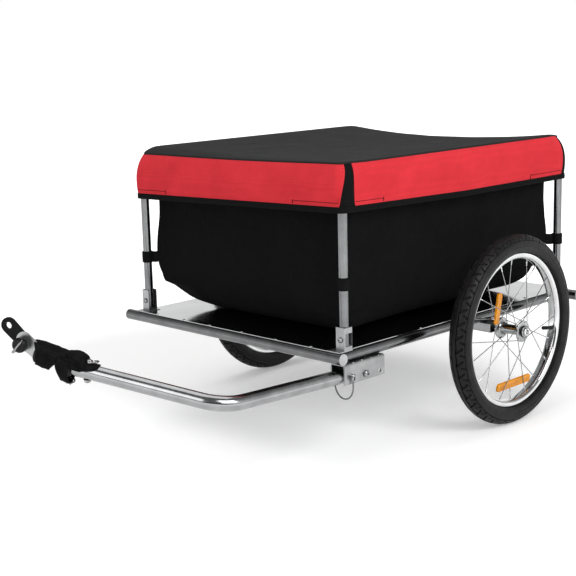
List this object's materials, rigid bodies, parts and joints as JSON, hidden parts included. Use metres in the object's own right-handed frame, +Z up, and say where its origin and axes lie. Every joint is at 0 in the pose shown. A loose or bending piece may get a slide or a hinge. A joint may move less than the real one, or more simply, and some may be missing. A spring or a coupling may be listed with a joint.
{
  "type": "bike cargo trailer",
  "caption": "Two-wheeled bicycle cargo trailer with a tube frame, folding side gates, a hung fabric bag under a rain cover, spoked wheels and a bent tow arm with a flexible hitch.",
  "frame": {"origin": "centre of the bounding box at ground level, under the tyres", "axes": "+X forward, toward the bicycle; +Y to the trailer's left, the side of the tow arm; +Z up"},
  "size_m": [1.2468, 0.7866, 0.5776],
  "materials": {
    "grey_steel": "satin silver-grey coat on steel tube",
    "bright_steel": "bright satin plating",
    "zinc_steel": "dull zinc plating",
    "polished_sheet": "smooth, mirror-like sheet",
    "chrome_rim": "polished rim",
    "black_steel": "black satin coat",
    "black_cloth": "coated woven cloth, matte",
    "red_cloth": "coated woven cloth, matte",
    "black_webbing": "ribbed webbing",
    "black_rubber": "moulded rubber",
    "tyre_rubber": "moulded tread",
    "black_plastic": "moulded",
    "grey_plastic": "moulded end plug",
    "amber_plastic": "prismatic reflector"
  },
  "bodies": {
    "base": {"front_cross_tube": "grey_steel", "rear_cross_tube": "grey_steel", "left_side_tube": "grey_steel", "right_side_tube": "grey_steel", "front_left_plug": "grey_plastic", "front_right_plug": "grey_plastic", "rear_left_plug": "grey_plastic", "rear_right_plug": "grey_plastic", "floor_plate": "polished_sheet", "front_left_bracket": "zinc_steel", "front_right_bracket": "zinc_steel", "rear_left_bracket": "zinc_steel", "rear_right_bracket": "zinc_steel", "front_left_hinge_bolt": "zinc_steel", "front_right_hinge_bolt": "zinc_steel", "rear_left_hinge_bolt": "zinc_steel", "rear_right_hinge_bolt": "zinc_steel", "axle_beam": "zinc_steel", "left_axle_socket": "zinc_steel", "right_axle_socket": "zinc_steel", "tow_arm_receiver": "zinc_steel", "arm_cross_bolt": "zinc_steel", "cargo_bag": "black_cloth", "tow_arm": "bright_steel", "flexible_coupling": "black_rubber", "safety_strap": "black_webbing", "strap_bolt": "zinc_steel"},
    "left_gate": {"left_gate": "grey_steel"},
    "right_gate": {"right_gate": "grey_steel"},
    "cover": {"cover_top": "black_cloth", "cover_front_panel": "red_cloth", "cover_left_panel": "red_cloth", "cover_rear_panel": "red_cloth", "cover_right_panel": "red_cloth", "cover_trim": "black_cloth"},
    "left_axle": {"left_axle": "bright_steel"},
    "left_button": {"left_axle_button": "bright_steel"},
    "left_wheel": {"left_hub": "bright_steel", "left_rim": "chrome_rim", "left_tyre": "tyre_rubber", "left_valve_stem": "black_rubber", "left_lower_reflector": "amber_plastic", "left_upper_reflector": "amber_plastic"},
    "right_axle": {"right_axle": "bright_steel"},
    "right_button": {"right_axle_button": "bright_steel"},
    "right_wheel": {"right_hub": "bright_steel", "right_rim": "chrome_rim", "right_tyre": "tyre_rubber", "right_valve_stem": "black_rubber", "right_lower_reflector": "amber_plastic", "right_upper_reflector": "amber_plastic"},
    "lock_pin": {"lock_pin": "bright_steel"},
    "lock_bail": {"lock_pin_bail": "bright_steel"},
    "hitch_head": {"hitch_fork": "zinc_steel"},
    "hitch_eye": {"hitch_eye_plate": "black_steel"},
    "hitch_pin": {"hitch_pin": "zinc_steel", "hitch_pin_knob": "black_plastic"},
    "hitch_bail": {"hitch_pin_bail": "bright_steel"}
  },
  "joints": [
    {"name": "left_gate_fold", "type": "hinge", "parent": "base", "child": "left_gate", "pos_m": [-0.31936, 0.283, 0.25], "axis": [1, 0, 0], "range_deg": [0, 90], "deforming": ["cargo_bag"]},
    {"name": "right_gate_fold", "type": "hinge", "parent": "base", "child": "right_gate", "pos_m": [-0.31936, -0.283, 0.25], "axis": [-1, 0, 0], "range_deg": [0, 85], "deforming": ["cargo_bag"]},
    {"name": "cover_lift", "type": "slide", "parent": "base", "child": "cover", "axis": [0, 0, 1], "range_m": [0, 0.25]},
    {"name": "left_axle_release", "type": "slide", "parent": "base", "child": "left_axle", "axis": [0, 1, 0], "range_m": [0, 0.13]},
    {"name": "left_button_press", "type": "slide", "parent": "left_axle", "child": "left_button", "axis": [0, -1, 0], "range_m": [0, 0.002], "stiffness_N_per_m": 1000, "springref_m": -0.001},
    {"name": "left_wheel_spin", "type": "hinge", "parent": "left_axle", "child": "left_wheel", "pos_m": [-0.31936, 0.353, 0.1975], "axis": [0, 1, 0], "continuous": true},
    {"name": "right_axle_release", "type": "slide", "parent": "base", "child": "right_axle", "axis": [0, -1, 0], "range_m": [0, 0.13]},
    {"name": "right_button_press", "type": "slide", "parent": "right_axle", "child": "right_button", "axis": [0, 1, 0], "range_m": [0, 0.002], "stiffness_N_per_m": 1000, "springref_m": -0.001},
    {"name": "right_wheel_spin", "type": "hinge", "parent": "right_axle", "child": "right_wheel", "pos_m": [-0.31936, -0.353, 0.1975], "axis": [0, 1, 0], "continuous": true},
    {"name": "lock_pin_pull", "type": "slide", "parent": "base", "child": "lock_pin", "axis": [0, 1, 0], "range_m": [0, 0.055], "deforming": ["lock_pin_bail"]},
    {"name": "lock_bail_swing", "type": "hinge", "parent": "lock_pin", "child": "lock_bail", "pos_m": [0.11562, 0.3027, 0.1794], "axis": [1, 0, 0], "range_deg": [0, 95]},
    {"name": "coupling_bend", "type": "hinge", "parent": "base", "child": "hitch_head", "pos_m": [0.56498, 0.00718, 0.25626], "axis": [-0.1641, 0.3094, 0.9367], "range_deg": [-20, 20], "stiffness_Nm_per_rad": 20, "deforming": ["flexible_coupling", "safety_strap"]},
    {"name": "eye_swivel", "type": "hinge", "parent": "hitch_head", "child": "hitch_eye", "pos_m": [0.59253, -0.04475, 0.28464], "axis": [0.8834, 0.4687, 0], "range_deg": [-60, 25]},
    {"name": "hitch_pin_pull", "type": "slide", "parent": "hitch_head", "child": "hitch_pin", "axis": [0.8834, 0.4687, 0], "range_m": [0, 0.03], "deforming": ["hitch_pin_bail"]},
    {"name": "hitch_bail_swing", "type": "hinge", "parent": "hitch_pin", "child": "hitch_bail", "pos_m": [0.60922, -0.02733, 0.2929], "axis": [0.3456, -0.6513, 0.6756], "range_deg": [0, 100]}
  ]
}
